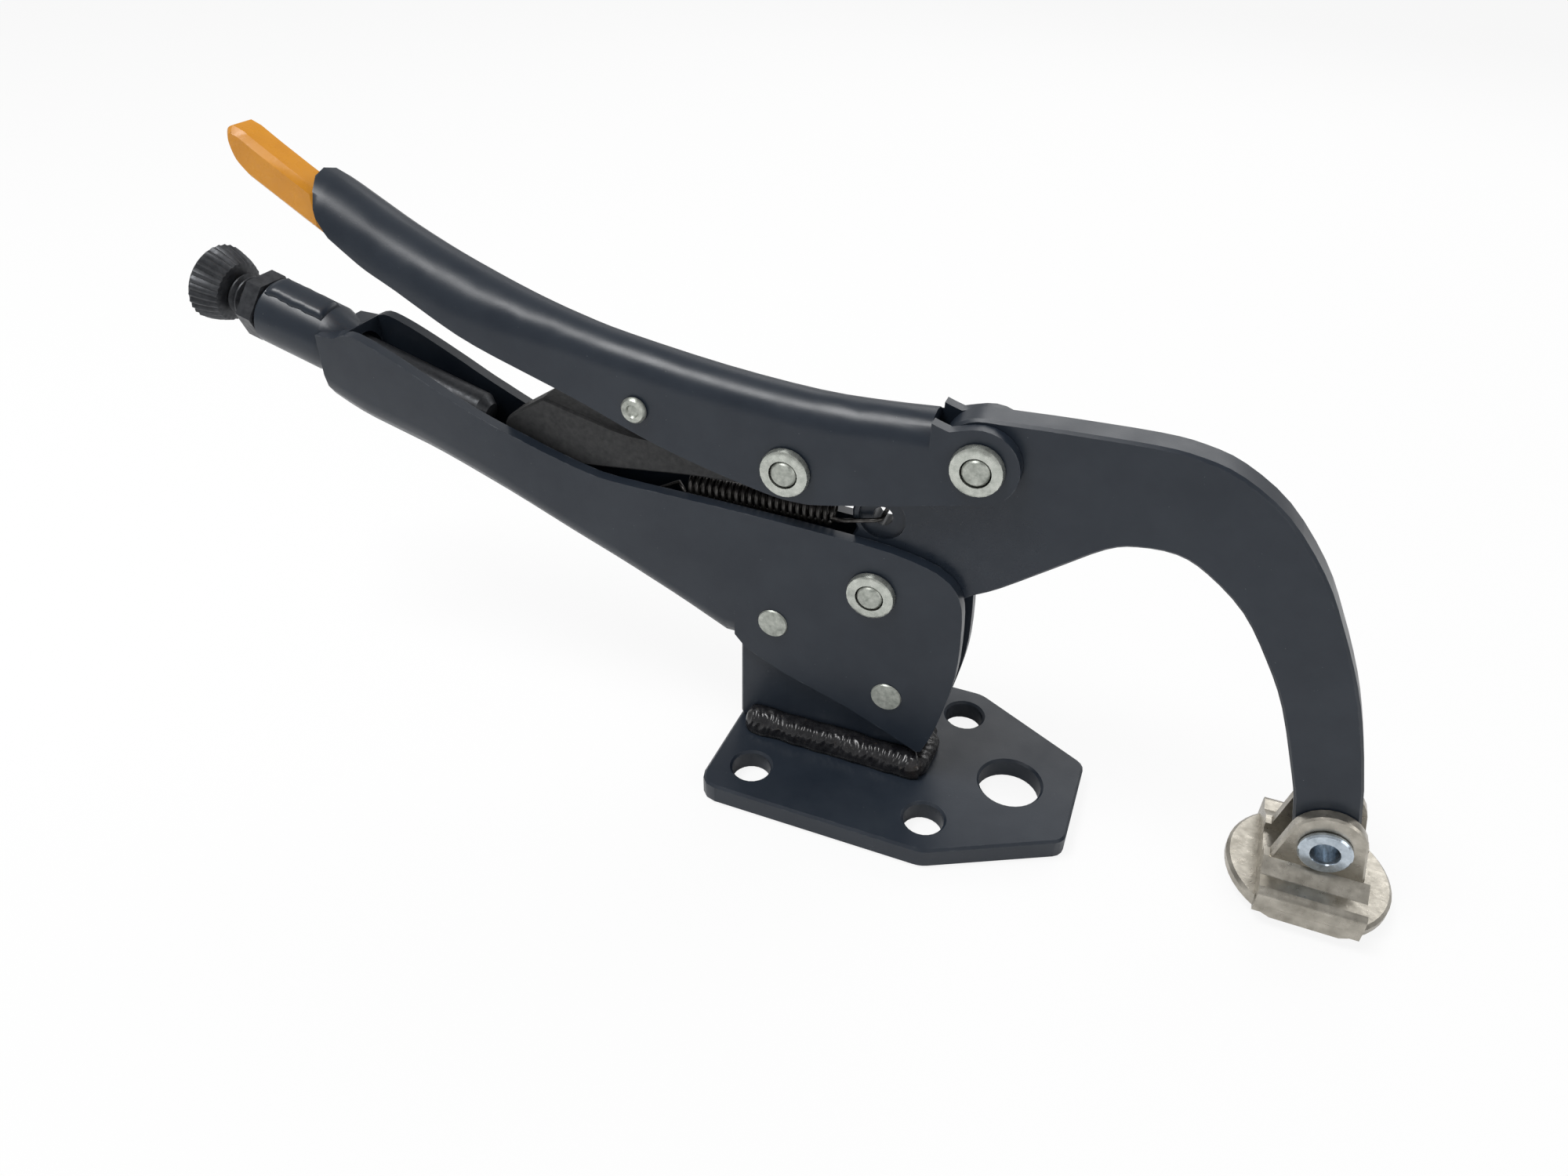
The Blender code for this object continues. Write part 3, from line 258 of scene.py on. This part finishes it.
def plated(name, low, high, rough, grain, metal=0.85):
    """Zinc plate: mottled grey with a fine grain and darker film in patches."""
    look = Shader(name)
    tone = look.mottle(1.3 * MM, (0.32, low), (0.70, high), 6.0, 0.65)
    film = look.mottle(2.8 * MM, (0.55, 0.0), (0.72, 1.0), 4.0)
    look.colour(look.cover(look.times(film, 0.45), tone, tuple(0.45 * v for v in low)))
    look.roughness(look.mottle(0.8 * MM, (0.30, rough - 0.07), (0.75, rough + 0.10), 5.0))
    look.value("Metallic", metal)
    look.bump(look.noise(grain, 4.0, 0.6), 0.015 * MM, 0.4)
    return look.material


def nickel(name):
    """Nickel plate over a rough casting, stained brown under the eyelet."""
    look = Shader(name)
    tone = look.mottle(3.2 * MM, (0.30, NICKEL_DARK), (0.72, NICKEL_LIGHT), 5.0)
    stain = look.times(look.near(*PAD_STAIN), look.mottle(1.6 * MM, (0.44, 0.0), (0.60, 1.0), 5.0, 0.7))
    look.colour(look.cover(look.times(stain, 0.8), tone, NICKEL_STAIN))
    look.roughness(look.mottle(1.4 * MM, (0.30, 0.24), (0.75, 0.40), 5.0))
    look.value("Metallic", 0.9)
    height = look.plus(look.noise(1.5 * MM, 4.0, 0.6), look.times(look.noise(4.5 * MM, 2.0), 0.5))
    look.bump(height, 0.10 * MM, 0.55)
    return look.material


def steel(name, low, high, rough, metal):
    """Dark oiled or bare steel with edges lightened as rubbing wear and as painted highlight."""
    look = Shader(name)
    tone = look.mottle(1.6 * MM, (0.32, low), (0.72, high), 6.0, 0.65)
    # edges lightened: partly real rubbing wear, partly painted highlight along every edge
    worn_and_highlit = look.times(look.edges(0.25 * MM), look.mottle(0.9 * MM, (0.46, 0.0), (0.64, 1.0), 4.0))
    look.colour(look.cover(look.times(worn_and_highlit, 0.4), tone, STEEL_WORN_AND_HIGHLIGHT))
    look.roughness(look.mottle(0.9 * MM, (0.30, rough - 0.08), (0.75, rough + 0.12), 5.0))
    look.value("Metallic", metal)
    look.bump(look.noise(0.5 * MM, 4.0, 0.6), 0.03 * MM, 0.5)
    return look.material


def vinyl(name):
    """Glossy dipped vinyl, slightly uneven where the dip ran."""
    look = Shader(name)
    tone = look.mottle(6 * MM, (0.30, VINYL_DARK), (0.72, VINYL_LIGHT))
    dust = look.mottle(0.9 * MM, (0.68, 0.0), (0.76, 1.0), 4.0, 0.7)
    look.colour(look.cover(look.times(dust, 0.35), tone, VINYL_DUST))
    look.roughness(look.mottle(4 * MM, (0.30, 0.24), (0.75, 0.34), 4.0))
    look.value("Coat Weight", 0.15)
    look.value("Coat Roughness", 0.12)
    look.bump(look.noise(2.5 * MM), 0.08 * MM, 0.5)
    return look.material


COAT = coat("black_coat_satin")
FINISHES = {
    "black_coat": COAT,
    "jaw": coat("black_coat_rubbed", JAW_RUB),
    "weld_metal": weld("coated_weld"),
    "zinc": plated("zinc_plate", (0.42, 0.445, 0.405), (0.62, 0.64, 0.59), 0.27, 0.9 * MM),
    "pin": plated("zinc_pin_end", (0.27, 0.29, 0.26), (0.56, 0.58, 0.53), 0.42, 0.4 * MM),
    "eyelet": plated("blue_zinc_eyelet", (0.40, 0.46, 0.52), (0.62, 0.69, 0.76), 0.17, 1.2 * MM, 0.9),
    "nickel": nickel("nickel_plate"),
    "blackened_steel": steel("black_phosphate", (0.022, 0.024, 0.028), (0.055, 0.058, 0.064), 0.40, 0.45),
    "spring_steel": steel("spring_wire", (0.040, 0.038, 0.036), (0.13, 0.125, 0.12), 0.34, 0.9),
    "brown_steel": steel("dusty_link", (0.018, 0.019, 0.020), (0.040, 0.040, 0.041), 0.58, 0.2),
    "yellow_vinyl": vinyl("dipped_vinyl"),
}
OWN_FINISH = {
    "jaw": "jaw",
    "pad_eyelet": "eyelet",
    "jaw_pivot_pin": "pin",
    "lever_pivot_pin": "pin",
    "toggle_pivot_pin": "pin",
    "release_pin": "pin",
    "tongue_rivet_front": "pin",
    "tongue_rivet_rear": "pin",
}


def placed(name, mesh, body, material, *nodes):
    """A new piece on a body, if one is named, standing for the CAD nodes named."""
    made = bpy.data.objects.new(name, mesh)
    bpy.context.scene.collection.objects.link(made)
    mesh.materials.clear()
    mesh.materials.append(material)
    if body:
        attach(made, body)
    if nodes:
        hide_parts(*nodes)
    return made


# ---- smooth skins of the CAD solids -------------------------------------------------------
MERGE_DISTANCE = 0.002 * MM
FLAT_ANGLE = math.radians(0.6)    # faces that turn less than this become one
WIDE_FACE = 20 * MM * MM          # a flat side is at least this large
WIDE_FACE_ANGLE = math.radians(4)
SMOOTH_ANGLE = math.radians(40.0)
FINE_SMOOTH_ANGLE = math.radians(30.0)
FINE = ("adjusting_knob", "lock_nut", "adjusting_screw")
FLAT_SIDED = ("base_plate", "upright_tongue", "jaw", "toggle_link", "release_lever", "swivel_pad")
REMADE = ("opening_spring", "weld_near", "weld_far", "weld_front")


def skin(node):
    """The node's own shape as one surface, shaded smooth except at its corners and flat sides."""
    smooth_angle = FINE_SMOOTH_ANGLE if node in FINE else SMOOTH_ANGLE
    work = bmesh.new()
    work.from_mesh(NODES[node].data)
    bmesh.ops.remove_doubles(work, verts=work.verts, dist=MERGE_DISTANCE)
    bmesh.ops.dissolve_limit(work, angle_limit=FLAT_ANGLE, verts=work.verts, edges=work.edges)
    wide = {face for face in work.faces if node in FLAT_SIDED and face.calc_area() > WIDE_FACE}
    for edge in work.edges:
        turn = edge.calc_face_angle(math.pi)
        flat_side = wide.intersection(edge.link_faces) and turn > WIDE_FACE_ANGLE
        edge.smooth = turn < smooth_angle and not flat_side
    bmesh.ops.triangulate(work, faces=work.faces, quad_method='BEAUTY', ngon_method='BEAUTY')
    mesh = bpy.data.meshes.new(node + "_skin")
    work.to_mesh(mesh)
    work.free()
    for face in mesh.polygons:
        face.use_smooth = True
    material = FINISHES[OWN_FINISH.get(node, SLOTS[node])]
    made = placed(node + "_skin", mesh, BODY_OF[node], material, node)
    even = made.modifiers.new("even_shading", 'WEIGHTED_NORMAL')
    even.keep_sharp = True


for node in NODES:
    if node not in REMADE:
        skin(node)


# ---- shapes made from rings ---------------------------------------------------------------
WIRE_FIRST_SIDE = Vector((0.30, 0.10, 0.95))  # any direction that the wire's start does not run along


def lofted(rings):
    """A closed surface through the rings, capped at both ends."""
    count = len(rings[0])
    last = (len(rings) - 1) * count
    vertices = [tuple(v) for ring in rings for v in ring]
    faces = [(i + k, i + (k + 1) % count, i + count + (k + 1) % count, i + count + k)
             for i in range(0, last, count) for k in range(count)]
    faces += [tuple(range(count - 1, -1, -1)), tuple(last + k for k in range(count))]
    mesh = bpy.data.meshes.new("lofted")
    mesh.from_pydata(vertices, [], faces)
    work = bmesh.new()
    work.from_mesh(mesh)
    bmesh.ops.recalc_face_normals(work, faces=work.faces)
    work.to_mesh(mesh)
    work.free()
    mesh.shade_smooth()
    return mesh


def tube(points, radius, around):
    """Round wire along the points, closed at both ends."""
    rings = []
    side = WIRE_FIRST_SIDE
    for i, point in enumerate(points):
        ahead = (points[min(i + 1, len(points) - 1)] - points[max(i - 1, 0)]).normalized()
        side = (side - ahead * side.dot(ahead)).normalized()
        up = ahead.cross(side)
        turns = [2 * math.pi * k / around for k in range(around)]
        rings.append([point + (side * math.cos(turn) + up * math.sin(turn)) * radius for turn in turns])
    return lofted(rings)


# ---- weld ---------------------------------------------------------------------------------
BEAD_START = 0.3 * MM             # from the rear end of the near weld
BEAD_STEP = 0.22 * MM
BEAD_CORNER_STEPS = 12
BEAD_ARC_STEPS = 14
BEAD_LEG = 0.93                   # of the CAD weld's height
BEAD_FRONT_SHARE = 0.80           # the bead is thinner across the tongue's front
BEAD_END_STEPS = 14.0             # stations over which the ends round off
BEAD_END_LEAST = 0.03
BEAD_MOST = 1.06
RIPPLE_TURN = 0.22                # phase run at each station
RIPPLE_LAG = 2.0
RIPPLE_STRAY = 0.9
RIPPLE_SPACING = 1.55
RIPPLE_HEIGHT = 0.075


def bead_path(rear, front, foot, height):
    """Stations round the tongue's foot, each a point in the corner and the outward direction."""
    along = int((front - rear) / BEAD_STEP)
    across = int(2 * foot / BEAD_STEP)
    corner = [90 * i / BEAD_CORNER_STEPS for i in range(BEAD_CORNER_STEPS + 1)]
    path = [(rear + BEAD_STEP * i, -foot, -90) for i in range(along)]
    path += [(front, -foot, turn - 90) for turn in corner]
    path += [(front, -foot + 2 * foot * i / across, 0) for i in range(1, across)]
    path += [(front, foot, turn) for turn in corner]
    path += [(front - BEAD_STEP * (i + 1), foot, 90) for i in range(along)]
    stations = []
    for x, y, turn in path:
        out = Vector((math.cos(math.radians(turn)), math.sin(math.radians(turn)), 0.0))
        stations.append((Vector((x, y, height)), out))
    return stations


def make_weld():
    """One rippled bead along the tongue's near side, round its front and back along its far side."""
    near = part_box("weld_near")
    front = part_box("weld_front")
    leg = (near[1].z - near[0].z) * BEAD_LEG
    stations = bead_path(near[0].x + BEAD_START, front[0].x, abs(near[1].y), near[0].z)
    rings = []
    for i, (corner, out) in enumerate(stations):
        end = min(1.0, min(i, len(stations) - 1 - i) / BEAD_END_STEPS)
        taper = math.sqrt(max(BEAD_END_LEAST, 1.0 - (1.0 - end) ** 2))
        share = BEAD_FRONT_SHARE if abs(out.x) > 0.5 else 1.0
        ring = [corner]
        for k in range(BEAD_ARC_STEPS + 1):
            angle = math.pi / 2 * k / BEAD_ARC_STEPS
            middle = math.sin(2 * angle)
            place = corner + out * leg * math.cos(angle) + Vector((0.0, 0.0, leg * math.sin(angle)))
            stray = RIPPLE_STRAY * noise.noise(place * 420)
            phase = (i * RIPPLE_TURN - RIPPLE_LAG * middle + stray) / RIPPLE_SPACING
            ripple = RIPPLE_HEIGHT * (1 - abs(2 * (phase % 1.0) - 1)) * middle
            lump = 0.10 * noise.noise(place * 210) + 0.02 * noise.noise(place * 800)
            bulge = 0.84 + 0.05 * middle
            reach = leg * taper * share * min(BEAD_MOST, bulge + ripple + lump)
            ring.append(corner + out * reach * math.cos(angle) ** 0.85
                        + Vector((0.0, 0.0, reach * math.sin(angle) ** 0.85)))
        rings.append(ring)
    placed("weld_bead", lofted(rings), "base", FINISHES["weld_metal"],
           "weld_near", "weld_far", "weld_front")


make_weld()


# ---- opening spring -----------------------------------------------------------------------
SPRING_HOLE = Vector((1.1, 0.0, 65.624)) * MM     # in the jaw's lug
WIRE_D = 0.9 * MM
WIRE_SIDES = 10
COIL_TURNS = 22
COIL_STEPS = 20                   # points in each turn
COIL_R = 2.15 * MM
COIL_FRONT = Vector((-10.2 * MM, 0.0, -3.4 * MM))  # from the hole
COIL_RUN = Vector((-32.0 * MM, 0.0, -0.8 * MM))
HOOK_REACH = 3.75 * MM            # the front hook's arms stand this far from the jaw's middle
LEG_INSET = 2.9 * MM              # the rear leg's bend, ahead of the spring's rear end
LEG_Z = 53.3 * MM


def make_spring():
    """Tension coil with a long hook through the jaw's lug and a rear leg inside the handle."""
    hole = SPRING_HOLE
    front = hole + COIL_FRONT
    rear = front + COIL_RUN
    along = (rear - front).normalized()
    side = ACROSS
    up = side.cross(along)
    points = [hole + side * (HOOK_REACH - 0.5 * MM), hole + side * 1.5 * MM, hole, hole - side * 2.0 * MM,
              hole - side * (HOOK_REACH - 0.4 * MM),
              hole - side * HOOK_REACH + Vector((-MM, 0.0, -0.3 * MM)),
              hole - side * HOOK_REACH + Vector((-6.9 * MM, 0.0, -1.9 * MM)),
              front - side * COIL_R]
    steps = COIL_TURNS * COIL_STEPS
    for i in range(1, steps):
        angle = 2 * math.pi * i / COIL_STEPS
        points.append(front + (rear - front) * i / steps - side * COIL_R * math.cos(angle)
                      + up * COIL_R * math.sin(angle))
    leg_end = Vector((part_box("opening_spring")[0].x + LEG_INSET, 0.0, LEG_Z))
    points += [rear + along * 2 * MM, leg_end + Vector((6.0, 0.0, 2.0)) * MM,
               leg_end + Vector((1.0, 0.0, 0.0)) * MM, leg_end, leg_end + Vector((-1.6, 0.0, -0.2)) * MM]
    wire = tube(points, WIRE_D / 2, WIRE_SIDES)
    made = placed("spring_wire", wire, None, FINISHES["spring_steel"], "opening_spring")
    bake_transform(made)


make_spring()


# ---- seam on top of the tube --------------------------------------------------------------
TUBE_END = Vector((-140.9, 0.0, 81.858)) * MM     # rear end of the tube's axis
TUBE_SLOPE = math.radians(15.2)
SEAM_INNER_R = 7.05               # just inside the tube's outer surface
SEAM_OUTER_R = 7.3
SEAM_LIFT = 0.75
SEAM_START = 0.7
SEAM_LENGTH = 14.6
SEAM_STEPS = 24
SEAM_TURN = 8.0                   # degrees from the tube's top towards the near side
SEAM_SPREAD = 27.0                # degrees to each side of that
SEAM_RAGGED = 3.0
SEAM_ARC_STEPS = 8
SEAM_CORNER = 0.8                 # arc steps over which the strip's sides rise


def make_tube_seam():
    """Overlapped edge of the rolled sheet, lying along the tube's top with a ragged front end."""
    out = Vector((-math.cos(TUBE_SLOPE), 0.0, math.sin(TUBE_SLOPE)))
    up = ACROSS.cross(out)
    rings = []
    for i in range(SEAM_STEPS + 1):
        along = TUBE_END - out * (SEAM_START + SEAM_LENGTH * i / SEAM_STEPS) * MM
        spread = SEAM_SPREAD + SEAM_RAGGED * noise.noise(Vector((i * 0.31, 0.0, 0.0)))
        lift = SEAM_LIFT * min(1.0, i / 2.0, (SEAM_STEPS - i) / 1.5 + 0.15)
        outer = []
        inner = []
        for k in range(SEAM_ARC_STEPS + 1):
            angle = math.radians(SEAM_TURN + spread * (2 * k / SEAM_ARC_STEPS - 1))
            toward = up * math.cos(angle) - ACROSS * math.sin(angle)
            rise = lift * min(1.0, k / SEAM_CORNER, (SEAM_ARC_STEPS - k) / SEAM_CORNER)
            outer.append(along + toward * ((SEAM_OUTER_R + rise) * MM))
            inner.append(along + toward * SEAM_INNER_R * MM)
        rings.append(outer + inner[::-1])
    made = placed("tube_seam", lofted(rings), "base", COAT)


make_tube_seam()


# ---- floor, lamps and camera --------------------------------------------------------------
FLOOR_HALF = 4.0
FLOOR_DROP = 0.0002               # below the lowest point of the object
FLOOR_GREY = (0.86, 0.86, 0.86, 1.0)
FLOOR_WHITE_SHARE = 0.88
WHITE = (1.0, 1.0, 1.0, 1.0)
WORLD_LIGHT = 0.42

LENS = 25.597
CAMERA_PLACE = Vector((47.684 * MM, -177.358 * MM, 178.895 * MM))
CAMERA_RIGHT = Vector((0.9288263, 0.3698039, 0.0229514))
CAMERA_UP = Vector((-0.2345793, 0.5389769, 0.8089972))
CAMERA_BACK = Vector((0.2868000, -0.7568018, 0.5873643))


def show(tree, output, share, lit, seen):
    """Send one shader to light and, by the share, the other to the rays that see the background."""
    blend = tree.nodes.new("ShaderNodeMixShader")
    tree.links.new(share.outputs[0], blend.inputs["Fac"])
    tree.links.new(lit.outputs[0], blend.inputs[1])
    tree.links.new(seen.outputs[0], blend.inputs[2])
    tree.links.new(blend.outputs[0], output.inputs["Surface"])


def floor_material():
    """Pale matte floor that is almost white to the camera and still takes shadows."""
    material = bpy.data.materials.new("floor_white")
    material.use_nodes = True
    tree = material.node_tree
    tree.nodes.clear()
    output = tree.nodes.new("ShaderNodeOutputMaterial")
    matte = tree.nodes.new("ShaderNodeBsdfDiffuse")
    matte.inputs["Color"].default_value = FLOOR_GREY
    glow = tree.nodes.new("ShaderNodeEmission")
    glow.inputs["Color"].default_value = WHITE
    rays = tree.nodes.new("ShaderNodeLightPath")
    share = tree.nodes.new("ShaderNodeMath")
    share.operation = 'MULTIPLY'
    share.inputs[1].default_value = FLOOR_WHITE_SHARE
    tree.links.new(rays.outputs["Is Camera Ray"], share.inputs[0])
    show(tree, output, share, matte, glow)
    return material


def make_floor():
    mesh = bpy.data.meshes.new("floor")
    z = CAD_BOX[0][2] - FLOOR_DROP
    corners = ((-FLOOR_HALF, -FLOOR_HALF), (FLOOR_HALF, -FLOOR_HALF),
               (FLOOR_HALF, FLOOR_HALF), (-FLOOR_HALF, FLOOR_HALF))
    mesh.from_pydata([(x, y, z) for x, y in corners], [], [(0, 1, 2, 3)])
    floor = bpy.data.objects.new("floor", mesh)
    bpy.context.scene.collection.objects.link(floor)
    floor.data.materials.append(floor_material())


def make_world():
    """Soft even light, white where the background itself is seen."""
    world = bpy.data.worlds.new("studio")
    bpy.context.scene.world = world
    world.use_nodes = True
    tree = world.node_tree
    tree.nodes.clear()
    output = tree.nodes.new("ShaderNodeOutputWorld")
    seen = tree.nodes.new("ShaderNodeBackground")
    seen.inputs["Color"].default_value = WHITE
    seen.inputs["Strength"].default_value = 1.0
    lit = tree.nodes.new("ShaderNodeBackground")
    lit.inputs["Color"].default_value = WHITE
    lit.inputs["Strength"].default_value = WORLD_LIGHT
    rays = tree.nodes.new("ShaderNodeLightPath")
    either = tree.nodes.new("ShaderNodeMath")
    either.operation = 'MAXIMUM'
    tree.links.new(rays.outputs["Is Camera Ray"], either.inputs[0])
    tree.links.new(rays.outputs["Is Transmission Ray"], either.inputs[1])
    show(tree, output, either, lit, seen)


def lamp(name, place, target, size, power):
    """A soft box of that width and height, facing the target."""
    data = bpy.data.lights.new(name, 'AREA')
    data.shape = 'RECTANGLE'
    data.size, data.size_y = size
    data.energy = power
    made = bpy.data.objects.new(name, data)
    made.location = place
    made.rotation_euler = (Vector(target) - Vector(place)).to_track_quat('-Z', 'Y').to_euler()
    bpy.context.scene.collection.objects.link(made)


def make_camera():
    camera = bpy.data.objects.new("camera", bpy.data.cameras.new("camera"))
    bpy.context.scene.collection.objects.link(camera)
    camera.data.sensor_width = 36.0
    camera.data.lens = LENS
    camera.data.clip_start = 0.01
    axes = (CAMERA_RIGHT, CAMERA_UP, CAMERA_BACK, CAMERA_PLACE)
    camera.matrix_world = Matrix([[axis[i] for axis in axes] for i in range(3)] + [[0.0, 0.0, 0.0, 1.0]])
    bpy.context.scene.camera = camera


make_floor()
make_world()
lamp("key", (-0.35, -0.25, 0.95), (0.0, 0.0, 0.05), (0.50, 0.30), 6.8)
lamp("back", (0.15, 0.75, 0.55), (0.0, 0.0, 0.06), (0.9, 0.35), 2.2)
lamp("side", (0.85, -0.55, 0.35), (0.02, 0.0, 0.05), (0.45, 0.45), 1.3)
make_camera()
bpy.context.scene.view_settings.view_transform = 'Standard'
